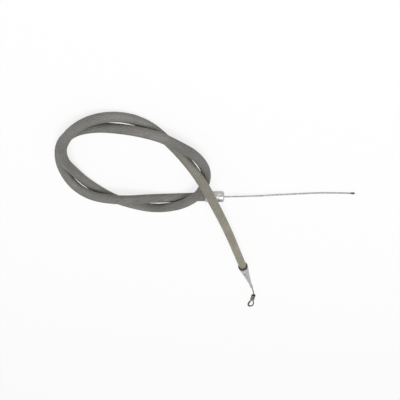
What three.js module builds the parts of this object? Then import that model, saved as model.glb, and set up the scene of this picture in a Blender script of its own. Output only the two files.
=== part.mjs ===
// Starter cable of a moped: a sheathed pull wire with a cap on one end and a cone and eye on the
// other. It lies on a flat surface in two loose turns. Millimetres, +Z up, origin under its middle.

import * as THREE from 'three';

// Sheath and its wound steel liner
const SHEATH_DIAMETER = 6;
const SHEATH_WALL = 0.8;
const SHEATH_STEPS = 80;
const SHEATH_SIDES = 12;
const CONDUIT_WALL = 1;
const CONDUIT_SIDES = 8;

// Gap between two pieces that touch, and the looser gap round the sheath in its end fittings
const CLEARANCE = 0.3;
const FITTING_CLEARANCE = 0.4;

// Pull wire
const WIRE_DIAMETER = 1;
const WIRE_SIDES = 8;
const WIRE_CLEARANCE = 0.35;
const WIRE_LEAD = 2;
const FREE_WIRE_STEPS = 14;
const CONE_WIRE_STEPS = 10;
const EYE_WIRE_STEPS = 38;

// Dark bead that keeps the strands together at the bare end
const BEAD_DIAMETER = 1.4;
const BEAD_LENGTH = 2.6;
const BEAD_SHOULDER = 0.5;
const BEAD_NOSE = 0.8;
const BEAD_SIDES = 10;

// End cap at the lever end
const CAP_LENGTH = 12.6;
const CAP_WALL = 0.3;
const CAP_NOSE = 0.9;
const CAP_NOSE_RADIUS = 1.2;
const CAP_ROWS = 7;
const CAP_DENT = { at: 3, depth: 0.3, length: 1.6, width: 1, angle: -50 };

// Cone at the carburettor end: a short lip over the sheath, a hollow taper and a plain spout
const CONE_LENGTH = 37;
const CONE_WALL = 0.35;
const CONE_SEAT = 1.4;
const CONE_SPOUT = 5.2;
const CONE_SPOUT_WALL = 0.25;
const CONE_HOLLOW = 1.3;
const CONE_ROWS = 13;
const CONE_DENT = { at: 12, depth: 0.35, length: 0.8, width: 1.6, angle: 50 };

// Black ring round the sheath at the mouth of the cone
const RING_WALL = 0.5;
const RING_LENGTH = 1.6;

// Crimped sleeve and the eye that it closes
const SLEEVE_LENGTH = 8;
const SLEEVE_WALL = 0.35;
const SLEEVE_ROUND_STEPS = 5;
const EYE_WIDTH = 4.4;
const EYE_LENGTH = 12.5;
const EYE_SHARPNESS = 1.5;
const EYE_FADE = 4;
const EYE_TAIL = 0.8;
const EYE_DROP = 0.6;
const EYE_ROWS = 8;
const EYE_CENTRE = [39.4, -98.6];
const EYE_HEADING = 4;

// Facets of what is turned, and of a quarter round in its profile
const ROUND_SIDES = 24;
const QUARTER_STEPS = 4;

// Sizes that follow
const SHEATH_RADIUS = SHEATH_DIAMETER / 2;
const SHEATH_BORE = SHEATH_RADIUS - SHEATH_WALL;
const CONDUIT_RADIUS = SHEATH_BORE - CLEARANCE;
const CONDUIT_BORE = CONDUIT_RADIUS - CONDUIT_WALL;
const WIRE_RADIUS = WIRE_DIAMETER / 2;
const WIRE_PASSAGE = WIRE_RADIUS + WIRE_CLEARANCE;
const BEAD_RADIUS = BEAD_DIAMETER / 2;
const FITTING_BORE = SHEATH_RADIUS + FITTING_CLEARANCE;
const CAP_RADIUS = FITTING_BORE + CAP_WALL;
const CONE_MOUTH_RADIUS = FITTING_BORE + CONE_WALL;
const CONE_SPOUT_RADIUS = WIRE_PASSAGE + CONE_SPOUT_WALL;
const RING_BORE = SHEATH_RADIUS + CLEARANCE;
const RING_RADIUS = RING_BORE + RING_WALL;
const STRAND_OFFSET = WIRE_RADIUS + CLEARANCE / 2;
const SLEEVE_BORE = WIRE_RADIUS + CLEARANCE;
const SLEEVE_RADIUS = SLEEVE_BORE + SLEEVE_WALL;

// Centre line of the sheath from the cap to the cone, as it lies: each point is x, y and height
const ROUTE = [
  [7.5, 42.5, 3.8], [-5.5, 42.5, 3.8], [-18, 41, 3.2], [-30.5, 40.5, 3.3], [-42.5, 43, 6],
  [-54.5, 46, 9.5], [-67, 47.5, 10.2], [-79, 50.8, 9.5], [-88.7, 57.8, 6.9], [-94, 68.5, 3.8],
  [-94, 81.2, 3.1], [-89.7, 92.8, 3.1], [-80.8, 100.9, 3.5], [-68, 105.4, 5], [-55, 106.5, 7],
  [-42.5, 106, 9.2], [-30.5, 102.5, 10.1], [-20, 95.5, 10], [-10.5, 87, 9.5], [-4.5, 76, 9.5],
  [-4, 63.5, 9], [-8.2, 51.8, 9.5], [-17.7, 42.8, 9.8], [-29, 37, 8.5], [-41, 33.5, 6],
  [-53.5, 34.5, 3.8], [-65, 39.5, 3], [-74.5, 48, 3], [-82.5, 58, 3.2], [-87.5, 69.5, 5],
  [-90, 81.5, 8.5], [-88.8, 94, 10], [-82.3, 104.6, 9.5], [-72.2, 111.4, 7.5],
  [-60.5, 113.5, 5.3], [-48, 111, 3.5], [-37, 104.5, 3], [-28.5, 95.5, 3.5], [-20, 86, 6.1],
  [-12, 78, 11.7], [-5.5, 68, 15.5], [-1, 56.5, 15.8], [3, 44, 14.5], [10, 20, 11],
  [16.5, -4.5, 7.5], [21.5, -24, 5.2], [27.4, -45.3, 3.9],
];

// Bare wire from the nose of the cap to its loose end
const FREE_WIRE = [
  [22, 41.9, 3], [33, 41.6, 2.3], [44, 42, 1.8], [55, 42.3, 1.4], [66, 42.8, 1.1],
  [77, 43, 0.9], [86, 42.7, 0.75], [94.5, 42.4, 0.7],
];

// How far a place on a path may miss a station and still count as on it
const STATION_TOLERANCE = 1e-6;
const CURVE_DIVISIONS = 60;

const materials = {
  sheath: new THREE.MeshStandardMaterial({ color: 0x7d7a72, roughness: 0.55, metalness: 0 }),
  conduit: new THREE.MeshStandardMaterial({ color: 0x8a8a88, roughness: 0.4, metalness: 1 }),
  wire: new THREE.MeshStandardMaterial({ color: 0x9b9b98, roughness: 0.35, metalness: 1 }),
  bead: new THREE.MeshStandardMaterial({ color: 0x24221f, roughness: 0.5, metalness: 0.6 }),
  cap: new THREE.MeshStandardMaterial({ color: 0xb9bab7, roughness: 0.3, metalness: 1 }),
  cone: new THREE.MeshStandardMaterial({ color: 0xb2b6b8, roughness: 0.4, metalness: 1 }),
  ring: new THREE.MeshStandardMaterial({ color: 0x1f1e1c, roughness: 0.7, metalness: 0 }),
  sleeve: new THREE.MeshStandardMaterial({ color: 0x6f6a62, roughness: 0.45, metalness: 1 }),
};

// A path through fixed stations, so that nested tubes share the same bends and never cross.
class StationPath extends THREE.Curve {
  constructor(stations) {
    super();
    this.stations = stations;
  }

  getPoint(t, target = new THREE.Vector3()) {
    const last = this.stations.length - 1;
    const place = THREE.MathUtils.clamp(t, 0, 1) * last;
    const index = Math.min(Math.floor(place + STATION_TOLERANCE), last - 1);
    return target.lerpVectors(this.stations[index], this.stations[index + 1], place - index);
  }

  getPointAt(u, target) {
    return this.getPoint(u, target);
  }

  getTangentAt(u, target = new THREE.Vector3()) {
    const last = this.stations.length - 1;
    const index = Math.round(u * last);
    const before = this.stations[Math.max(index - 1, 0)];
    const after = this.stations[Math.min(index + 1, last)];
    return target.subVectors(after, before).normalize();
  }
}

function vectors(points) {
  return points.map(([x, y, z]) => new THREE.Vector3(x, y, z));
}

function smoothCurve(points) {
  const curve = new THREE.CatmullRomCurve3(points, false, 'centripetal');
  curve.arcLengthDivisions = CURVE_DIVISIONS * points.length;
  return curve;
}

function disc(radius, bore) {
  const shape = new THREE.Shape();
  shape.absarc(0, 0, radius, 0, 2 * Math.PI, false);
  if (bore) {
    const hole = new THREE.Path();
    hole.absarc(0, 0, bore, 0, 2 * Math.PI, true);
    shape.holes.push(hole);
  }
  return shape;
}

function sweep(shape, stations, sides) {
  return new THREE.ExtrudeGeometry(shape, {
    steps: stations.length - 1,
    curveSegments: sides / 2,
    extrudePath: new StationPath(stations),
    bevelEnabled: false,
  });
}

// Turns a closed profile of [radius, distance] pairs about the axis, as LatheGeometry does.
function turned(profile, sides = ROUND_SIDES) {
  return new THREE.LatheGeometry(profile.map(([r, y]) => new THREE.Vector2(r, y)), sides);
}

// Presses a soft-edged dent into both faces of a turned wall, outside the radius it reaches to.
function press(geometry, dent, reach) {
  const position = geometry.getAttribute('position');
  const angle = THREE.MathUtils.degToRad(dent.angle);
  for (let i = 0; i < position.count; i++) {
    const [x, y, z] = [position.getX(i), position.getY(i), position.getZ(i)];
    const radius = Math.hypot(x, z);
    if (radius < reach) continue;
    const turn = Math.atan2(x, z) - angle;
    const nearest = Math.atan2(Math.sin(turn), Math.cos(turn));
    const along = (y - dent.at) / dent.length;
    const across = (nearest * radius) / dent.width;
    const scale = 1 - (dent.depth * Math.exp(-along * along - across * across)) / radius;
    position.setXYZ(i, x * scale, y, z * scale);
  }
  return geometry;
}

// Stands a turned piece, made along +Y, on an axis, with its zero angle uppermost.
function aim(mesh, origin, axis) {
  const along = axis.clone().normalize();
  const side = new THREE.Vector3().crossVectors(along, new THREE.Vector3(0, 0, 1)).normalize();
  const up = new THREE.Vector3().crossVectors(side, along);
  mesh.quaternion.setFromRotationMatrix(new THREE.Matrix4().makeBasis(side, along, up));
  mesh.position.copy(origin);
  return mesh;
}

function named(name, geometry, material) {
  const mesh = new THREE.Mesh(geometry, material);
  mesh.name = name;
  return mesh;
}

function alongAxis(origin, axis, distance) {
  return origin.clone().addScaledVector(axis, distance);
}

const route = smoothCurve(vectors(ROUTE));
const sheathStations = route.getSpacedPoints(SHEATH_STEPS);
const capEnd = route.getPoint(0);
const capAxis = route.getTangent(0).negate();
const coneEnd = route.getPoint(1);
const coneAxis = route.getTangent(1);

// Outer wall, round nose, flat face with the wire hole, and the bore that takes the sheath.
// Distances run back from the nose.
function endCap() {
  const profile = [[FITTING_BORE, CAP_LENGTH], [CAP_RADIUS, CAP_LENGTH]];
  for (let i = 1; i <= CAP_ROWS; i++) {
    const at = THREE.MathUtils.lerp(CAP_LENGTH, CAP_NOSE_RADIUS, i / CAP_ROWS);
    profile.push([CAP_RADIUS, at]);
  }
  for (let i = 1; i <= QUARTER_STEPS; i++) {
    const turn = (Math.PI / 2) * (i / QUARTER_STEPS);
    const radius = CAP_RADIUS - CAP_NOSE_RADIUS * (1 - Math.cos(turn));
    profile.push([radius, CAP_NOSE_RADIUS * (1 - Math.sin(turn))]);
  }
  profile.push([WIRE_PASSAGE, 0], [WIRE_PASSAGE, CAP_NOSE], [FITTING_BORE, CAP_NOSE]);
  for (let i = 1; i <= CAP_ROWS; i++) {
    profile.push([FITTING_BORE, THREE.MathUtils.lerp(CAP_NOSE, CAP_LENGTH, i / CAP_ROWS)]);
  }
  const geometry = press(turned(profile.reverse()), CAP_DENT, RING_BORE);
  const nose = alongAxis(capEnd, capAxis, CLEARANCE + CAP_NOSE);
  return aim(named('lever_end_cap', geometry, materials.cap), nose, capAxis.clone().negate());
}

// Outside of the cone as [radius, distance from the mouth] pairs.
function coneOutside() {
  const taperEnd = CONE_LENGTH - CONE_SPOUT;
  const fall = CONE_MOUTH_RADIUS - CONE_SPOUT_RADIUS;
  const outside = [[CONE_MOUTH_RADIUS, 0]];
  for (let i = 0; i < CONE_ROWS; i++) {
    const share = i / (CONE_ROWS - 1);
    const at = THREE.MathUtils.lerp(CONE_SEAT, taperEnd, share);
    outside.push([CONE_SPOUT_RADIUS + fall * (1 - share) ** CONE_HOLLOW, at]);
  }
  outside.push([CONE_SPOUT_RADIUS, CONE_LENGTH]);
  return outside;
}

function coneFerrule() {
  const outside = coneOutside();
  const inside = outside.map(([radius, at]) => {
    const wall = THREE.MathUtils.lerp(CONE_WALL, CONE_SPOUT_WALL, at / CONE_LENGTH);
    return [radius - wall, at];
  }).reverse();
  const profile = [...inside, ...outside, inside[0]];
  const geometry = press(turned(profile), CONE_DENT, WIRE_PASSAGE);
  const mouth = alongAxis(coneEnd, coneAxis, CLEARANCE - CONE_SEAT);
  return aim(named('cone_ferrule', geometry, materials.cone), mouth, coneAxis);
}

// Ring with a rounded outside and a plain bore over the sheath.
function sealRing() {
  const middle = (RING_RADIUS + RING_BORE) / 2;
  const half = RING_LENGTH / 2;
  const profile = [[RING_BORE, 0], [RING_BORE, RING_LENGTH]];
  for (let i = 0; i <= QUARTER_STEPS; i++) {
    const turn = Math.PI * (0.5 - i / QUARTER_STEPS);
    profile.push([middle + (RING_RADIUS - middle) * Math.cos(turn), half * (1 + Math.sin(turn))]);
  }
  profile.push([RING_BORE, 0]);
  const place = alongAxis(coneEnd, coneAxis, -CONE_SEAT - RING_LENGTH);
  return aim(named('seal_ring', turned(profile.reverse()), materials.ring), place, coneAxis);
}

// Gives the place at a distance to the side of the eye's middle line, along it and below it.
function eyePlace(side, reach, drop) {
  const heading = THREE.MathUtils.degToRad(EYE_HEADING);
  const along = new THREE.Vector3(-Math.sin(heading), -Math.cos(heading), 0);
  const across = new THREE.Vector3(Math.cos(heading), -Math.sin(heading), 0);
  const centre = new THREE.Vector3(...EYE_CENTRE, SLEEVE_RADIUS - drop);
  return centre.addScaledVector(across, side).addScaledVector(along, reach);
}

// Half width of the eye, a teardrop that starts as wide apart as the strands in the sleeve.
function eyeSide(turn) {
  const swell = (angle) => Math.sin(angle) * Math.sin(angle / 2) ** EYE_SHARPNESS;
  const widest = Math.acos(-EYE_SHARPNESS / (2 + EYE_SHARPNESS));
  const strand = STRAND_OFFSET * Math.cos(turn / 2) ** EYE_FADE;
  return strand + ((EYE_WIDTH / 2) * swell(turn)) / swell(widest);
}

// Out of the sleeve on one side, round the eye and back in on the other.
function eyeStations() {
  const half = SLEEVE_LENGTH / 2;
  const outgoing = [[STRAND_OFFSET, -half], [STRAND_OFFSET, 0]];
  for (let i = 0; i < EYE_ROWS; i++) {
    const turn = (Math.PI * i) / EYE_ROWS;
    outgoing.push([eyeSide(turn), half + (EYE_LENGTH * (1 - Math.cos(turn))) / 2]);
  }
  const returning = outgoing.slice(1).reverse().map(([side, reach]) => [-side, reach]);
  const tail = [-STRAND_OFFSET, EYE_TAIL - half];
  const outline = [...outgoing, [0, half + EYE_LENGTH], ...returning, tail];
  const points = outline.map(([side, reach]) => {
    const share = THREE.MathUtils.clamp((reach - half) / EYE_LENGTH, 0, 1);
    return eyePlace(side, reach, EYE_DROP * share);
  });
  return smoothCurve(points).getSpacedPoints(EYE_WIRE_STEPS);
}

function freeWireStations() {
  const exit = alongAxis(capEnd, capAxis, CAP_NOSE + CLEARANCE + WIRE_DIAMETER);
  const points = [capEnd.clone(), exit, ...vectors(FREE_WIRE)];
  return smoothCurve(points).getSpacedPoints(FREE_WIRE_STEPS);
}

// One wire from the loose end, through the sheath and the cone, to the eye.
function pullWire() {
  const free = freeWireStations().slice(1).reverse();
  const eye = eyeStations();
  const spoutEnd = CONE_LENGTH - CONE_SEAT + CLEARANCE;
  const link = smoothCurve([
    coneEnd, alongAxis(coneEnd, coneAxis, spoutEnd / 2), alongAxis(coneEnd, coneAxis, spoutEnd),
    alongAxis(coneEnd, coneAxis, spoutEnd + WIRE_LEAD),
    eyePlace(STRAND_OFFSET, -SLEEVE_LENGTH, 0), eye[0],
  ]).getSpacedPoints(CONE_WIRE_STEPS);
  const stations = [...free, ...sheathStations, ...link.slice(1), ...eye.slice(1)];
  return named('inner_wire', sweep(disc(WIRE_RADIUS), stations, WIRE_SIDES), materials.wire);
}

// Flat end against the wire, a short shoulder and a round nose, lying level.
function wireBead() {
  const stations = freeWireStations();
  const end = stations[stations.length - 1];
  const axis = end.clone().sub(stations[stations.length - 2]).setZ(0).normalize();
  const profile = [[0, 0], [WIRE_RADIUS, 0], [BEAD_RADIUS, BEAD_SHOULDER]];
  for (let i = 0; i <= QUARTER_STEPS; i++) {
    const turn = (Math.PI / 2) * (i / QUARTER_STEPS);
    const at = BEAD_LENGTH - BEAD_NOSE * (1 - Math.sin(turn));
    profile.push([i < QUARTER_STEPS ? BEAD_RADIUS * Math.cos(turn) : 0, at]);
  }
  const place = alongAxis(end, axis, CLEARANCE);
  return aim(named('wire_end_bead', turned(profile, BEAD_SIDES), materials.bead), place, axis);
}

function oval(path, radius) {
  path.absarc(STRAND_OFFSET, 0, radius, -Math.PI / 2, Math.PI / 2, false);
  path.absarc(-STRAND_OFFSET, 0, radius, Math.PI / 2, 1.5 * Math.PI, false);
  return path;
}

// Flat oval sleeve over the two strands of the eye.
function eyeSleeve() {
  const shape = oval(new THREE.Shape(), SLEEVE_RADIUS);
  shape.holes.push(oval(new THREE.Path(), SLEEVE_BORE));
  const geometry = new THREE.ExtrudeGeometry(shape, {
    depth: SLEEVE_LENGTH, curveSegments: SLEEVE_ROUND_STEPS, bevelEnabled: false, steps: 1,
  });
  geometry.translate(0, 0, -SLEEVE_LENGTH / 2);
  geometry.rotateX(Math.PI / 2);
  const mesh = named('eye_sleeve', geometry, materials.sleeve);
  mesh.rotation.z = -THREE.MathUtils.degToRad(EYE_HEADING);
  mesh.position.copy(eyePlace(0, 0, 0));
  return mesh;
}

const group = new THREE.Group();
group.add(
  named('outer_sheath', sweep(disc(SHEATH_RADIUS, SHEATH_BORE), sheathStations, SHEATH_SIDES),
    materials.sheath),
  named('steel_conduit', sweep(disc(CONDUIT_RADIUS, CONDUIT_BORE), sheathStations, CONDUIT_SIDES),
    materials.conduit),
  pullWire(),
  wireBead(),
  endCap(),
  coneFerrule(),
  sealRing(),
  eyeSleeve(),
);

export default group;
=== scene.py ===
import math
from collections import namedtuple

import bmesh
import bpy
from mathutils import Matrix, Vector


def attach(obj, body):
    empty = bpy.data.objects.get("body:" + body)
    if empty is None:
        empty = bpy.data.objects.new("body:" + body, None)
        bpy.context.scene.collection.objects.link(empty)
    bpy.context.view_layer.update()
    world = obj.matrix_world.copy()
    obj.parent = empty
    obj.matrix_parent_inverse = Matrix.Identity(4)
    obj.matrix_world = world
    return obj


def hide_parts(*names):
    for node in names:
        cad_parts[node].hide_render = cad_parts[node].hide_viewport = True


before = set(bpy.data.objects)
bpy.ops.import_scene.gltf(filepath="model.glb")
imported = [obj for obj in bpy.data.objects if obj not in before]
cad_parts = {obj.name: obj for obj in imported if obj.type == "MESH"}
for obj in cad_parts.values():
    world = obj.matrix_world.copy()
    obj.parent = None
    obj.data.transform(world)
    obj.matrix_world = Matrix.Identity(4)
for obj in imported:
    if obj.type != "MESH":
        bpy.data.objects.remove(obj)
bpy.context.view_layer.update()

MM = 0.001
UP = Vector((0, 0, 1))

# Camera: it looks down at the cable from the side that the coil lies on, with the image turned
# so that the bare wire points right and the cone points down.
CAMERA_ELEVATION = 40
CAMERA_DISTANCE = 353 * MM
CAMERA_TARGET = Vector((-7.5, 34.5, 0)) * MM
CAMERA_LENS = 46.08
CAMERA_SENSOR = 36
CAMERA_NEAR = 0.01
CAMERA_FAR = 20

# Floor and light: sizes in metres, power in watts
FLOOR_HALF = 3.0
FLOOR_BELOW = 0.0002
FLOOR_GLOW = 0.8
SKY_LEVEL = 0.38
SOFTBOX_POWER = 19.5
SOFTBOX_SIZE = 1.0
SOFTBOX_PLACE = (0.2, 0.7, 1.5)

# Sheath, wire and fittings: lengths in millimetres, while hollow, waves, squeeze and spread
# are plain factors
SHEATH_RADIUS = 3.0
SHEATH_BORE = 2.2
CLEARANCE = 0.3
FITTING_BORE = 3.4
WIRE_RADIUS = 0.5
WIRE_PASSAGE = 0.85
CAP_LENGTH = 12.6
CAP_WALL = 0.3
CAP_NOSE = 0.9
CAP_NOSE_RADIUS = 1.2
CAP_LIP = 0.12
CAP_RIM = 0.1
CAP_TAPER = 0.05
CAP_DRAWN = 0.0175
CAP_DRAWN_WAVES = 9.5
CONE_LENGTH = 37
CONE_WALL = 0.35
CONE_SEAT = 1.4
CONE_SPOUT = 5.2
CONE_SPOUT_WALL = 0.25
CONE_HOLLOW = 1.3
CONE_LIP = (0.1, 0.14)
CONE_TIP_LIP = (0.06, 0.15)
CONE_SPOUT_ROW = 2.2
RING_BORE = 3.3
RING_RADIUS = 3.8
RING_LENGTH = 1.6
RING_SEAM = 0.03
BEAD_RADIUS = 0.7
BEAD_LENGTH = 2.6
BEAD_ROUND = 1.2
BEAD_SHOULDER = ((0.62, 0.22), (BEAD_RADIUS, 0.5))
PINHOLE = 0.02
SLEEVE_LENGTH = 8
SLEEVE_WALL = 0.35
SLEEVE_ROUNDING = 0.12
BITE_PLACES = (-1.0, 1.9)
BITE_LENGTH = 0.75
BITE_SQUEEZE = 0.14
BITE_SPREAD = 0.03
STRAND_OFFSET = 0.65

# The eye. Its wire is drawn thicker than the solid's, most of all on the leg that is left in the
# photo, and lies 0.2 mm higher than in the solid for that.
EYE_WIDTH = 4.4
EYE_LENGTH = 12.5
EYE_SHARPNESS = 1.5
EYE_FADE = 4
EYE_TAIL = 0.8
EYE_DROP = 0.4
EYE_CENTRE = (39.4, -98.6)
EYE_HEADING = 4
EYE_THICKER = 0.1
EYE_THICKER_LEFT = 0.35
THICKER_START = 2
THICKER_RAMP = 3

# Handling, from clean to black, on the eye's two legs and on the wire above the sleeve
LEFT_LEG_DIRT = 1.0
RIGHT_LEG_DIRT = 0.75
LINK_DIRT = 0.6
LINK_HALF_WIDTH = 3

# Ribs moulded round the sheath, with their lay in degrees, and strands twisted into the wire,
# with theirs in millimetres a turn
RIBS = 18
RIB_DEPTH = 0.24
RIB_LAY = 11
RIB_SIDES = 6
BORE_STEP = 6
BORE_CREST = 0.5
STRANDS = 7
STRAND_DEPTH = 0.06
STRAND_LAY = 7.5
STRAND_SIDES = 4

# Points for each span of a curve, smoothing passes, and spacings in millimetres
SPAN_STEPS = 24
SHEATH_PASSES = 8
SHEATH_STEP = 1.0
WIRE_STEP = 0.7
EYE_STEP = 0.35

# A dent: its distance along the piece, its angle from the top in degrees, and how deep, how
# long and how wide it is in millimetres. The painted shade in it is full at the depth DEEP_DENT.
Dent = namedtuple("Dent", "at angle depth length width")
DEEP_DENT = 0.6
CAP_DENTS = (
    Dent(at=2.6, angle=62, depth=0.5, length=1.3, width=0.5),
    Dent(at=3, angle=-50, depth=0.3, length=1.6, width=1.0),
    Dent(at=9, angle=20, depth=0.1, length=1.2, width=1.3),
)
CONE_DENTS = (
    Dent(at=8.6, angle=12, depth=1.0, length=1.1, width=0.9),
    Dent(at=14, angle=-18, depth=0.5, length=0.9, width=0.6),
)
BEAD_DENTS = (
    Dent(at=1.3, angle=140, depth=0.12, length=0.5, width=0.5),
    Dent(at=0.9, angle=-70, depth=0.08, length=0.4, width=0.4),
)

# Centre line of the sheath and of the bare wire, in millimetres, as the CAD model has them
ROUTE = [
    (7.5, 42.5, 3.8), (-5.5, 42.5, 3.8), (-18, 41, 3.2), (-30.5, 40.5, 3.3), (-42.5, 43, 6),
    (-54.5, 46, 9.5), (-67, 47.5, 10.2), (-79, 50.8, 9.5), (-88.7, 57.8, 6.9), (-94, 68.5, 3.8),
    (-94, 81.2, 3.1), (-89.7, 92.8, 3.1), (-80.8, 100.9, 3.5), (-68, 105.4, 5), (-55, 106.5, 7),
    (-42.5, 106, 9.2), (-30.5, 102.5, 10.1), (-20, 95.5, 10), (-10.5, 87, 9.5), (-4.5, 76, 9.5),
    (-4, 63.5, 9), (-8.2, 51.8, 9.5), (-17.7, 42.8, 9.8), (-29, 37, 8.5), (-41, 33.5, 6),
    (-53.5, 34.5, 3.8), (-65, 39.5, 3), (-74.5, 48, 3), (-82.5, 58, 3.2), (-87.5, 69.5, 5),
    (-90, 81.5, 8.5), (-88.8, 94, 10), (-82.3, 104.6, 9.5), (-72.2, 111.4, 7.5),
    (-60.5, 113.5, 5.3), (-48, 111, 3.5), (-37, 104.5, 3), (-28.5, 95.5, 3.5), (-20, 86, 6.1),
    (-12, 78, 11.7), (-5.5, 68, 15.5), (-1, 56.5, 15.8), (3, 44, 14.5), (10, 20, 11),
    (16.5, -4.5, 7.5), (21.5, -24, 5.2), (27.4, -45.3, 3.9),
]
FREE_WIRE = [
    (22, 41.9, 3), (33, 41.6, 2.3), (44, 42, 1.8), (55, 42.3, 1.4), (66, 42.8, 1.1),
    (77, 43, 0.9), (86, 42.7, 0.75), (94.5, 42.4, 0.7),
]

# Colours of the sheath, with painted shade in its rib valleys and in narrow gaps and crests worn
# pale with painted glints, of the wire, darker between its strands, of the painted shade in the
# dents, and of the floor; the stretch in which the coil's colour turns into the tail's, and the
# width of a gap that gets painted shade
COIL_DARK = (0.14, 0.133, 0.12)
COIL_PALE = (0.205, 0.198, 0.183)
TAIL_DARK = (0.26, 0.235, 0.165)
TAIL_PALE = (0.335, 0.31, 0.235)
TAIL_BLEND = (0.72, 0.9)
VALLEY_SHADE = (0.06, 0.056, 0.048)
RUBBED_GLINT = (0.42, 0.405, 0.37)
GAP_SHADE = (0.02, 0.019, 0.017)
GAP_WIDTH = 5 * MM
WIRE_DARK = (0.2, 0.2, 0.195)
WIRE_PALE = (0.32, 0.32, 0.31)
WIRE_GROOVE_DARK = (0.1, 0.095, 0.085)
WIRE_BLACK = (0.025, 0.022, 0.018)
DENT_SHADE = (0.04, 0.04, 0.038)
FLOOR_WHITE = (0.98, 0.98, 0.98)

# Plated, pressed and worn surfaces: tones, roughness, and the scales of patches and of grain
Finish = namedtuple("Finish", "dull bright roughness patches grain grain_depth metallic")
CAP_ZINC = Finish(
    dull=(0.4, 0.4, 0.385), bright=(0.6, 0.595, 0.575), roughness=(0.42, 0.58),
    patches=420, grain=2600, grain_depth=0.04 * MM, metallic=1.0,
)
CONE_SATIN = Finish(
    dull=(0.33, 0.335, 0.338), bright=(0.51, 0.515, 0.52), roughness=(0.34, 0.5),
    patches=260, grain=1900, grain_depth=0.04 * MM, metallic=1.0,
)
SEAL_RUBBER = Finish(
    dull=(0.018, 0.018, 0.017), bright=(0.04, 0.039, 0.037), roughness=(0.55, 0.75),
    patches=500, grain=2200, grain_depth=0.05 * MM, metallic=0.0,
)
BEAD_DARK = Finish(
    dull=(0.03, 0.027, 0.023), bright=(0.1, 0.09, 0.075), roughness=(0.4, 0.6),
    patches=900, grain=3200, grain_depth=0.05 * MM, metallic=0.6,
)
SLEEVE_CRIMPED = Finish(
    dull=(0.1, 0.09, 0.075), bright=(0.21, 0.19, 0.165), roughness=(0.35, 0.55),
    patches=650, grain=2600, grain_depth=0.05 * MM, metallic=1.0,
)
LINER_STEEL = Finish(
    dull=(0.25, 0.25, 0.245), bright=(0.42, 0.42, 0.41), roughness=(0.35, 0.5),
    patches=500, grain=2400, grain_depth=0.04 * MM, metallic=1.0,
)


# Curves

def catmull_point(p0, p1, p2, p3, t):
    """A point between p1 and p2 on a centripetal Catmull-Rom curve."""
    shortest = 1e-4
    d0 = max((p1 - p0).length ** 0.5, shortest)
    d1 = max((p2 - p1).length ** 0.5, shortest)
    d2 = max((p3 - p2).length ** 0.5, shortest)
    m1 = ((p1 - p0) / d0 - (p2 - p0) / (d0 + d1) + (p2 - p1) / d1) * d1
    m2 = ((p2 - p1) / d1 - (p3 - p1) / (d1 + d2) + (p3 - p2) / d2) * d1
    a = 2 * p1 - 2 * p2 + m1 + m2
    b = -3 * p1 + 3 * p2 - 2 * m1 - m2
    return p1 + m1 * t + b * t * t + a * t ** 3


def smooth_line(points):
    """A smooth curve through the points, straight on at both ends."""
    ends = [2 * points[0] - points[1], *points, 2 * points[-1] - points[-2]]
    line = []
    for i in range(len(points) - 1):
        for k in range(SPAN_STEPS):
            line.append(catmull_point(*ends[i:i + 4], k / SPAN_STEPS))
    line.append(points[-1].copy())
    return line


def spaced(line, step):
    """The same line with points an even distance apart, near to step."""
    reach = [0.0]
    for a, b in zip(line, line[1:]):
        reach.append(reach[-1] + (b - a).length)
    count = max(2, round(reach[-1] / step))
    out = []
    j = 0
    for i in range(count + 1):
        at = reach[-1] * i / count
        while j < len(reach) - 2 and reach[j + 1] < at:
            j += 1
        span = reach[j + 1] - reach[j]
        out.append(line[j].lerp(line[j + 1], (at - reach[j]) / span if span else 0))
    return out


def relaxed(line, passes):
    """Evens the bends out a little, with both ends and their directions kept."""
    for _ in range(passes):
        inner = [(line[i - 1] + 2 * line[i] + line[i + 1]) / 4 for i in range(2, len(line) - 2)]
        line = line[:2] + inner + line[-2:]
    return line


def vectors(points):
    return [Vector(p) for p in points]


def clamped(value):
    return min(max(value, 0), 1)


# Mesh building

def finish_mesh(name, verts, faces, node, material, attributes=()):
    """Makes the mesh with its faces turned outward, and has it stand for a node of the CAD."""
    mesh = bpy.data.meshes.new(name)
    mesh.from_pydata([v * MM for v in verts], [], faces)
    mesh.validate()
    skin = bmesh.new()
    skin.from_mesh(mesh)
    bmesh.ops.recalc_face_normals(skin, faces=skin.faces)
    skin.to_mesh(mesh)
    skin.free()
    for key, values in attributes:
        layer = mesh.attributes.new(key, "FLOAT", "POINT")
        layer.data.foreach_set("value", values)
    mesh.polygons.foreach_set("use_smooth", [True] * len(mesh.polygons))
    obj = bpy.data.objects.new(name, mesh)
    bpy.context.scene.collection.objects.link(obj)
    mesh.materials.append(material)
    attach(obj, "root")
    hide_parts(node)
    return obj


def ring_faces(rows, around, closed=False):
    """Quads between rows of points that each go once round."""
    faces = []
    for i in range(rows if closed else rows - 1):
        a = i * around
        b = (i + 1) % rows * around
        for j in range(around):
            k = (j + 1) % around
            faces.append((a + j, a + k, b + k, b + j))
    return faces


def line_frames(line):
    """Each point with two directions square to the line, carried along without a twist."""
    tangents = []
    for i in range(len(line)):
        after = line[min(i + 1, len(line) - 1)]
        tangents.append((after - line[max(i - 1, 0)]).normalized())
    side = tangents[0].cross(UP).normalized()
    frames = []
    for point, tangent in zip(line, tangents):
        side = (side - tangent * side.dot(tangent)).normalized()
        frames.append((point, side, tangent.cross(side)))
    return frames


def lobed_rows(line, radius, depth, lobes, around, turn_per_mm, swell=None):
    """Rows of points whose lobes wind round the line, and each point's share of a full lobe.
    Swell, where given, makes each row thicker by its own factor."""
    verts = []
    crest = []
    reach = 0.0
    frames = line_frames(line)
    for i, (point, side, up) in enumerate(frames):
        if i:
            reach += (point - frames[i - 1][0]).length
        for j in range(around):
            share = abs(math.cos(math.pi * lobes * j / around))
            angle = 2 * math.pi * j / around + turn_per_mm * reach
            out = (radius - depth * (1 - share)) * (swell[i] if swell else 1)
            verts.append(point + (side * math.cos(angle) + up * math.sin(angle)) * out)
            crest.append(share)
    return verts, crest


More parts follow.
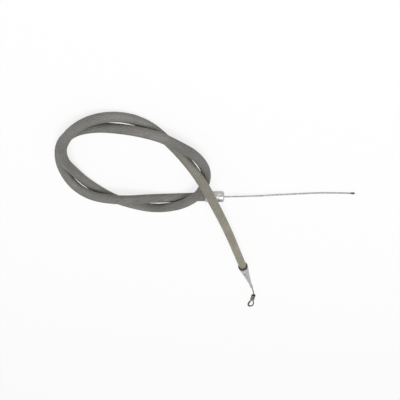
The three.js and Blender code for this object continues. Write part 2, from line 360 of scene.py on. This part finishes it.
def pressed(dents, radius, at, angle):
    """How far the dents press a point of a turned piece inward."""
    inward = 0.0
    for dent in dents:
        off = (angle - math.radians(dent.angle) + math.pi) % (2 * math.pi) - math.pi
        inward += dent.depth * math.exp(-((at - dent.at) / dent.length) ** 2
                                        - (off * radius / dent.width) ** 2)
    return inward


def turned(name, profile, sides, origin, axis, node, material, dents=()):
    """Turns a closed profile of (radius, distance) round an axis. Dents press both faces of the
    wall, and leave a mark by their depth, which the material uses to paint shade into them."""
    along = axis.normalized()
    side = along.cross(UP).normalized()
    up = side.cross(along)
    verts = []
    marks = []
    for radius, at in profile:
        for j in range(sides):
            angle = 2 * math.pi * j / sides
            inward = pressed(dents, radius, at, angle)
            out = max(radius - inward, min(radius, WIRE_PASSAGE))
            # The dent's depth as a share, by which the material paints shade into the dent
            marks.append(min(inward / DEEP_DENT, 1))
            verts.append(origin + along * at
                         + (side * math.sin(angle) + up * math.cos(angle)) * out)
    faces = ring_faces(len(profile), sides, closed=True)
    return finish_mesh(name, verts, faces, node, material, attributes=(("mark", marks),))


# Materials

class Nodes:
    """Short names for making the nodes of one material."""

    def __init__(self, name):
        self.material = bpy.data.materials.new(name)
        self.material.use_nodes = True
        self.tree = self.material.node_tree
        self.shader = self.tree.nodes["Principled BSDF"]

    def add(self, kind, **values):
        node = self.tree.nodes.new(kind)
        for key, value in values.items():
            setattr(node, key, value)
        return node

    def link(self, out, socket):
        self.tree.links.new(out, socket)

    def noise(self, scale, detail=3.0, rough=0.6):
        place = self.add("ShaderNodeTexCoord")
        node = self.add("ShaderNodeTexNoise")
        node.inputs["Scale"].default_value = scale
        node.inputs["Detail"].default_value = detail
        node.inputs["Roughness"].default_value = rough
        self.link(place.outputs["Object"], node.inputs["Vector"])
        return node.outputs["Fac"]

    def attribute(self, name):
        return self.add("ShaderNodeAttribute", attribute_name=name).outputs["Fac"]

    def between(self, fac, low, high, a, b):
        """Runs from a to b while the factor runs from low to high."""
        node = self.add("ShaderNodeMapRange")
        for socket, value in zip(("From Min", "From Max", "To Min", "To Max"), (low, high, a, b)):
            node.inputs[socket].default_value = value
        self.link(fac, node.inputs["Value"])
        return node.outputs["Result"]

    def patches(self, scale):
        """Soft patches of nought and one."""
        return self.between(self.noise(scale), 0.35, 0.65, 0, 1)

    def uneven(self, scale, low, high):
        """A value that wanders between low and high, for roughness."""
        return self.between(self.noise(scale), 0.3, 0.7, low, high)

    def times(self, a, b):
        node = self.add("ShaderNodeMath", operation="MULTIPLY")
        self.link(a, node.inputs[0])
        self.link(b, node.inputs[1])
        return node.outputs[0]

    def mix(self, fac, a, b):
        """Blends two colours, each a tuple or another node's output."""
        node = self.add("ShaderNodeMix", data_type="RGBA")
        self.link(fac, node.inputs["Factor"])
        for socket, colour in ((node.inputs[6], a), (node.inputs[7], b)):
            if isinstance(colour, tuple):
                socket.default_value = (*colour, 1)
            else:
                self.link(colour, socket)
        return node.outputs[2]

    def openness(self, distance):
        """One in the open, and nought deep in a gap that is narrower than the distance."""
        node = self.add("ShaderNodeAmbientOcclusion", samples=8)
        node.inputs["Distance"].default_value = distance
        return node.outputs["AO"]

    def bump(self, height, strength, distance):
        node = self.add("ShaderNodeBump")
        node.inputs["Strength"].default_value = strength
        node.inputs["Distance"].default_value = distance
        self.link(height, node.inputs["Height"])
        self.link(node.outputs["Normal"], self.shader.inputs["Normal"])

    def paint(self, colour, roughness, metallic):
        self.link(colour, self.shader.inputs["Base Color"])
        self.link(roughness, self.shader.inputs["Roughness"])
        self.shader.inputs["Metallic"].default_value = metallic
        return self.material


def sheath_material():
    """Half matt ribbed plastic: painted shade in the valleys, crests worn pale with painted
    glints, paler towards the cone, and painted shade where two strands come close."""
    n = Nodes("sheath_plastic")
    coil = n.mix(n.patches(55), COIL_DARK, COIL_PALE)
    tail = n.mix(n.patches(70), TAIL_DARK, TAIL_PALE)
    body = n.mix(n.between(n.attribute("along"), *TAIL_BLEND, 0, 1), coil, tail)
    # Painted shade: the colour darkens in the rib valleys
    valley_shaded = n.mix(n.between(n.attribute("crest"), 0, 0.7, 0.85, 0), body, VALLEY_SHADE)
    # Pale specks on the rib crests: wear and painted glints
    rub_and_glint = n.between(n.noise(900, detail=2.0), 0.52, 0.7, 0, 1)
    top = n.between(n.attribute("crest"), 0.82, 1, 0, 1)
    worn_and_glinting = n.mix(n.between(n.times(rub_and_glint, top), 0, 1, 0, 0.6), valley_shaded, RUBBED_GLINT)
    # Painted shade: the colour darkens where another strand comes within the gap width
    colour = n.mix(n.between(n.openness(GAP_WIDTH), 0.1, 0.6, 0.8, 0), worn_and_glinting, GAP_SHADE)
    n.bump(n.noise(1500), strength=0.35, distance=0.06 * MM)
    return n.paint(colour, n.uneven(300, 0.34, 0.56), metallic=0.0)


def metal_material(name, finish):
    """Plated, pressed or worn surface: patches of tone, a fine grain, uneven gloss, and painted
    shade in the dents."""
    n = Nodes(name)
    patches = n.between(n.noise(finish.patches, detail=4.0), 0.36, 0.66, 0, 1)
    n.bump(n.noise(finish.grain), strength=0.4, distance=finish.grain_depth)
    # Painted shade: darker where a dent presses deep
    dent_shade_amount = n.between(n.attribute("mark"), 0.3, 0.85, 0, 0.92)
    colour = n.mix(dent_shade_amount, n.mix(patches, finish.dull, finish.bright), DENT_SHADE)
    return n.paint(colour, n.uneven(finish.patches * 2.3, *finish.roughness), finish.metallic)


def wire_material():
    """Galvanised strands, darker in the grooves between them, black where they are handled."""
    n = Nodes("wire_strand")
    steel = n.mix(n.patches(420), WIRE_DARK, WIRE_PALE)
    # Darker in the grooves between the strands
    groove_darkened = n.mix(n.between(n.attribute("crest"), 0, 0.4, 0.5, 0), steel, WIRE_GROOVE_DARK)
    colour = n.mix(n.between(n.attribute("handled"), 0, 1, 0, 0.95), groove_darkened, WIRE_BLACK)
    n.bump(n.noise(4000, detail=2.0), strength=0.3, distance=0.02 * MM)
    return n.paint(colour, n.uneven(900, 0.28, 0.45), metallic=1.0)


# Camera, made first

def make_camera():
    data = bpy.data.cameras.new("camera")
    data.lens = CAMERA_LENS
    data.sensor_width = CAMERA_SENSOR
    data.clip_start = CAMERA_NEAR
    data.clip_end = CAMERA_FAR
    camera = bpy.data.objects.new("camera", data)
    tilt = math.radians(CAMERA_ELEVATION)
    right = Vector((1, 0, 0))
    back = Vector((0, math.cos(tilt), math.sin(tilt)))
    upward = Vector((0, math.sin(tilt), -math.cos(tilt)))
    turn = Matrix((right, upward, back)).transposed().to_4x4()
    camera.matrix_world = Matrix.Translation(CAMERA_TARGET + back * CAMERA_DISTANCE) @ turn
    bpy.context.scene.collection.objects.link(camera)
    bpy.context.scene.camera = camera


make_camera()

# The sheath's line runs from the cap to the cone, and the free line from the cap outward
cable_line = relaxed(spaced(smooth_line(vectors(ROUTE)), SHEATH_STEP), SHEATH_PASSES)
cap_end = cable_line[0]
cap_axis = (cable_line[0] - cable_line[1]).normalized()
cone_end = cable_line[-1]
cone_axis = (cable_line[-1] - cable_line[-2]).normalized()
free_start = cap_end + cap_axis * (CAP_NOSE + CLEARANCE + 2 * WIRE_RADIUS)
free_line = smooth_line([cap_end.copy(), free_start, *vectors(FREE_WIRE)])


def make_sheath():
    """Ribbed outside, both end faces and a plain bore, as one closed skin."""
    around = RIBS * RIB_SIDES
    turn = math.tan(math.radians(RIB_LAY)) / SHEATH_RADIUS
    verts, crest = lobed_rows(cable_line, SHEATH_RADIUS, RIB_DEPTH, RIBS, around, turn)
    last = len(cable_line) - 1
    bore_rows = [*range(last, 0, -BORE_STEP), 0]
    # The bore turns nearly as the ribs do, as if every step of the line were like the first
    first_step = (cable_line[1] - cable_line[0]).length
    frames = line_frames(cable_line)
    for i in bore_rows:
        point, side, up = frames[i]
        for j in range(around):
            angle = 2 * math.pi * j / around + turn * first_step * i
            verts.append(point + (side * math.cos(angle) + up * math.sin(angle)) * SHEATH_BORE)
            crest.append(BORE_CREST)
    rows = [*range(last + 1), *bore_rows]
    along = [i / last for i in rows for _ in range(around)]
    faces = ring_faces(len(rows), around, closed=True)
    return finish_mesh("cable_sheath", verts, faces, "outer_sheath",
                       sheath_material(), attributes=(("crest", crest), ("along", along)))


def eye_place(side, reach, drop):
    """A point beside and along the sleeve, seen from its middle, and so far lower."""
    heading = math.radians(EYE_HEADING)
    along = Vector((-math.sin(heading), -math.cos(heading), 0))
    across = Vector((math.cos(heading), -math.sin(heading), 0))
    height = WIRE_RADIUS + CLEARANCE + SLEEVE_WALL - drop
    return Vector((*EYE_CENTRE, height)) + across * side + along * reach


def eye_reading(point):
    """How far a point lies beside the sleeve's middle and along the sleeve."""
    middle = eye_place(0, 0, 0)
    off = point - middle
    return off.dot(eye_place(1, 0, 0) - middle), off.dot(eye_place(0, 1, 0) - middle)


def eye_side(turn):
    """Half width of the eye: a teardrop that starts as wide apart as the strands."""
    def swell(angle):
        return math.sin(angle) * math.sin(angle / 2) ** EYE_SHARPNESS
    widest = math.acos(-EYE_SHARPNESS / (2 + EYE_SHARPNESS))
    strand = STRAND_OFFSET * math.cos(turn / 2) ** EYE_FADE
    return strand + EYE_WIDTH / 2 * swell(turn) / swell(widest)


def eye_line():
    """Down through the sleeve, round the eye, and back up to the wire's cut end."""
    half = SLEEVE_LENGTH / 2
    rows = 8
    outgoing = [(STRAND_OFFSET, -half), (STRAND_OFFSET, 0)]
    for i in range(rows):
        turn = math.pi * i / rows
        outgoing.append((eye_side(turn), half + EYE_LENGTH * (1 - math.cos(turn)) / 2))
    returning = [(-side, reach) for side, reach in reversed(outgoing[1:])]
    outline = [*outgoing, (0, half + EYE_LENGTH), *returning, (-STRAND_OFFSET, EYE_TAIL - half)]
    points = []
    for side, reach in outline:
        points.append(eye_place(side, reach, EYE_DROP * clamped((reach - half) / EYE_LENGTH)))
    return smooth_line(points)


def wire_line():
    """From the loose end through the sheath and the cone, and round the eye."""
    eye = eye_line()
    spout_end = CONE_LENGTH - CONE_SEAT + CLEARANCE
    past_spout = 1.5
    link = smooth_line([
        cone_end.copy(), cone_end + cone_axis * (spout_end / 2), cone_end + cone_axis * spout_end,
        cone_end + cone_axis * (spout_end + past_spout), eye[0].copy(),
    ])
    outside = spaced(free_line, WIRE_STEP)[:0:-1]
    hidden = [*cable_line[:-1:2], cone_end]
    return [*outside, *hidden, *spaced(link, WIRE_STEP)[1:], *spaced(eye, EYE_STEP)[1:]]


def thicker(point):
    """How much thicker the wire is drawn at a point: more round the eye, and most on its left."""
    side, reach = eye_reading(point)
    past = reach - SLEEVE_LENGTH / 2
    if past >= 2 * EYE_LENGTH:
        return 1
    inside = clamped((past - THICKER_START) / THICKER_RAMP)
    return 1 + inside * (EYE_THICKER + EYE_THICKER_LEFT * clamped(0.5 - side / 2))


def handling(point):
    """How black the wire is with handling at a point."""
    side, reach = eye_reading(point)
    if SLEEVE_LENGTH / 2 < reach < 2 * EYE_LENGTH:
        return LEFT_LEG_DIRT if side < 0 else RIGHT_LEG_DIRT
    if -2 * SLEEVE_LENGTH < reach < 0 and abs(side) < LINK_HALF_WIDTH:
        return LINK_DIRT
    return 0.0


def make_wire():
    """Twisted strands from the bead to the cut end in the sleeve, with a closed face at each."""
    line = wire_line()
    around = STRANDS * STRAND_SIDES
    verts, crest = lobed_rows(line, WIRE_RADIUS, STRAND_DEPTH, STRANDS, around,
                              2 * math.pi / STRAND_LAY, [thicker(point) for point in line])
    faces = ring_faces(len(line), around)
    cut_crest = 0.3
    for start, point in ((0, line[0]), (len(verts) - around, line[-1])):
        centre = len(verts)
        verts.append(point.copy())
        crest.append(cut_crest)
        for j in range(around):
            faces.append((start + j, start + (j + 1) % around, centre))
    handled = [handling(v) for v in verts]
    return finish_mesh("pull_wire", verts, faces, "inner_wire", wire_material(),
                       attributes=(("crest", crest), ("handled", handled)))


def make_cap():
    """Pressed cap: rolled rim, drawn wall, round nose and a hole for the wire."""
    outer = FITTING_BORE + CAP_WALL
    rim = CAP_LENGTH - CAP_LIP
    profile = [(FITTING_BORE, rim), (FITTING_BORE + CAP_LIP, CAP_LENGTH),
               (outer - CAP_RIM, CAP_LENGTH), (outer, rim)]
    rows = 34
    for i in range(1, rows + 1):
        share = i / rows
        drawn = CAP_DRAWN * math.sin(share * CAP_DRAWN_WAVES) * math.sin(math.pi * share)
        profile.append((outer - CAP_TAPER * share + drawn,
                        rim * (1 - share) + CAP_NOSE_RADIUS * share))
    nose_rows = 8
    for i in range(1, nose_rows + 1):
        turn = math.pi / 2 * i / nose_rows
        profile.append((outer - CAP_TAPER - CAP_NOSE_RADIUS * (1 - math.cos(turn)),
                        CAP_NOSE_RADIUS * (1 - math.sin(turn))))
    profile += [(WIRE_PASSAGE + CAP_LIP, 0), (WIRE_PASSAGE, CAP_LIP), (WIRE_PASSAGE, CAP_NOSE),
                (FITTING_BORE, CAP_NOSE)]
    for i in range(1, rows):
        profile.append((FITTING_BORE, CAP_NOSE + (rim - CAP_NOSE) * i / rows))
    nose = cap_end + cap_axis * (CLEARANCE + CAP_NOSE)
    return turned("end_cap", profile, 72, nose, -cap_axis, "lever_end_cap",
                  metal_material("cap_zinc", CAP_ZINC), CAP_DENTS)


def make_cone():
    """Lip over the sheath, hollow taper and spout, with the marks of the crimping tool."""
    mouth = FITTING_BORE + CONE_WALL
    tip = WIRE_PASSAGE + CONE_SPOUT_WALL
    taper_end = CONE_LENGTH - CONE_SPOUT
    outside = [(mouth - CONE_LIP[0], 0), (mouth, CONE_LIP[1]), (mouth, CONE_SEAT)]
    rows = 72
    for i in range(1, rows + 1):
        share = i / rows
        at = CONE_SEAT + (taper_end - CONE_SEAT) * share
        outside.append((tip + (mouth - tip) * (1 - share) ** CONE_HOLLOW, at))
    outside += [(tip, taper_end + CONE_SPOUT_ROW), (tip, CONE_LENGTH - CONE_TIP_LIP[1]),
                (tip - CONE_TIP_LIP[0], CONE_LENGTH)]
    inside = []
    thinner = 0.03
    tighter = 0.05
    for radius, at in reversed(outside):
        wall = CONE_WALL + (CONE_SPOUT_WALL - CONE_WALL) * at / CONE_LENGTH
        inside.append((max(radius - wall + thinner, WIRE_PASSAGE - tighter), at))
    origin = cone_end + cone_axis * (CLEARANCE - CONE_SEAT)
    return turned("cone", inside + outside, 72, origin, cone_axis, "cone_ferrule",
                  metal_material("cone_satin", CONE_SATIN), CONE_DENTS)


def make_ring():
    """Rubber ring, round on the outside, with a moulding line."""
    middle = (RING_BORE + RING_RADIUS) / 2
    half = RING_LENGTH / 2
    profile = [(RING_BORE, 0), (RING_BORE, half), (RING_BORE, RING_LENGTH)]
    steps = 16
    for i in range(steps + 1):
        turn = math.pi * (0.5 - i / steps)
        seam = RING_SEAM if i == steps // 2 else 0
        profile.append((middle + (RING_RADIUS - middle) * math.cos(turn) + seam,
                        half * (1 + math.sin(turn))))
    place = cone_end + cone_axis * (-CONE_SEAT - RING_LENGTH)
    return turned("seal", profile, 96, place, cone_axis, "seal_ring",
                  metal_material("seal_rubber", SEAL_RUBBER))


def make_bead():
    """Fused end of the strands: a shoulder, a round nose and two dips."""
    axis = free_line[-1] - free_line[-2]
    axis.z = 0
    axis.normalize()
    profile = [(PINHOLE, 0), (WIRE_RADIUS, 0), *BEAD_SHOULDER]
    rows = 8
    for i in range(1, rows + 1):
        turn = math.pi / 2 * i / rows
        profile.append((max(BEAD_RADIUS * math.cos(turn), PINHOLE),
                        BEAD_LENGTH - BEAD_ROUND * (1 - math.sin(turn))))
    place = free_line[-1] + axis * CLEARANCE
    return turned("wire_bead", profile, 28, place, axis, "wire_end_bead",
                  metal_material("bead_dark", BEAD_DARK), BEAD_DENTS)


def stadium(radius, count, squeeze, spread):
    """Outline round both strands: two half rounds, flattened by squeeze and widened by spread."""
    points = []
    for j in range(count):
        angle = 2 * math.pi * j / count
        middle = STRAND_OFFSET if math.cos(angle) >= 0 else -STRAND_OFFSET
        points.append(((middle + radius * math.cos(angle)) * spread,
                       radius * math.sin(angle) * squeeze))
    return points


def make_sleeve():
    """Crimped oval sleeve: two bites of the tool, and a mouth that stays open."""
    rows = 40
    around = 48
    bore = WIRE_RADIUS + CLEARANCE
    half = SLEEVE_LENGTH / 2

    def row(reach, radius):
        bites = sum(math.exp(-((reach - at) / BITE_LENGTH) ** 2) for at in BITE_PLACES)
        outline = stadium(radius, around, 1 - BITE_SQUEEZE * bites, 1 + BITE_SPREAD * bites)
        return [eye_place(x, reach, 0) + UP * z for x, z in outline]

    verts = []
    reaches = [half * (2 * i / rows - 1) for i in range(rows + 1)]
    for reach in reaches:
        rounding = SLEEVE_ROUNDING if abs(reach) == half else 0
        verts += row(reach, bore + SLEEVE_WALL - rounding)
    for reach in reversed(reaches):
        verts += row(reach, bore)
    faces = ring_faces(2 * len(reaches), around, closed=True)
    return finish_mesh("crimp_sleeve", verts, faces, "eye_sleeve",
                       metal_material("sleeve_crimped", SLEEVE_CRIMPED))


# Stage

def seen_directly(tree):
    """One for rays from the camera, from gloss and through glass, and nought for the rest."""
    rays = tree.nodes.new("ShaderNodeLightPath")
    seen = rays.outputs["Is Camera Ray"]
    for name in ("Is Glossy Ray", "Is Transmission Ray"):
        either = tree.nodes.new("ShaderNodeMath")
        either.operation = "MAXIMUM"
        tree.links.new(seen, either.inputs[0])
        tree.links.new(rays.outputs[name], either.inputs[1])
        seen = either.outputs[0]
    return seen


def floor_material():
    """White that is part glow, so that it stays pale but keeps the shadow."""
    n = Nodes("floor_white")
    n.shader.inputs["Base Color"].default_value = (*FLOOR_WHITE, 1)
    n.shader.inputs["Roughness"].default_value = 0.9
    n.shader.inputs["Specular IOR Level"].default_value = 0.1
    seen = seen_directly(n.tree)
    glow = n.add("ShaderNodeEmission")
    blend = n.add("ShaderNodeMixShader")
    n.link(n.between(seen, 0, 1, 0, FLOOR_GLOW), blend.inputs["Fac"])
    n.link(n.shader.outputs["BSDF"], blend.inputs[1])
    n.link(glow.outputs["Emission"], blend.inputs[2])
    n.link(blend.outputs["Shader"], n.tree.nodes["Material Output"].inputs["Surface"])
    return n.material


def make_floor():
    mesh = bpy.data.meshes.new("floor")
    corners = [(-FLOOR_HALF, -FLOOR_HALF, 0), (FLOOR_HALF, -FLOOR_HALF, 0),
               (FLOOR_HALF, FLOOR_HALF, 0), (-FLOOR_HALF, FLOOR_HALF, 0)]
    mesh.from_pydata(corners, [], [(0, 1, 2, 3)])
    mesh.materials.append(floor_material())
    floor = bpy.data.objects.new("floor", mesh)
    floor.location.z = -FLOOR_BELOW
    bpy.context.scene.collection.objects.link(floor)


def make_sky():
    """White where it is seen, and softer as a light."""
    world = bpy.data.worlds.new("studio")
    world.use_nodes = True
    bpy.context.scene.world = world
    tree = world.node_tree
    shade = tree.nodes["Background"]
    level = tree.nodes.new("ShaderNodeMapRange")
    level.inputs["To Min"].default_value = SKY_LEVEL
    level.inputs["To Max"].default_value = 1.0
    tree.links.new(seen_directly(tree), level.inputs["Value"])
    tree.links.new(level.outputs["Result"], shade.inputs["Strength"])
    shade.inputs["Color"].default_value = (1, 1, 1, 1)


def make_softbox():
    lamp = bpy.data.lights.new("softbox", "AREA")
    lamp.shape = "SQUARE"
    lamp.size = SOFTBOX_SIZE
    lamp.energy = SOFTBOX_POWER
    box = bpy.data.objects.new("softbox", lamp)
    place = Vector(SOFTBOX_PLACE)
    box.location = place
    box.rotation_euler = place.to_track_quat("Z", "Y").to_euler()
    bpy.context.scene.collection.objects.link(box)


sheath = make_sheath()
wire = make_wire()
cap = make_cap()
cone = make_cone()
seal = make_ring()
bead = make_bead()
sleeve = make_sleeve()

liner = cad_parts["steel_conduit"]
liner.data.materials.clear()
liner.data.materials.append(metal_material("liner_steel", LINER_STEEL))

make_floor()
make_sky()
make_softbox()
bpy.context.scene.view_settings.view_transform = "Standard"
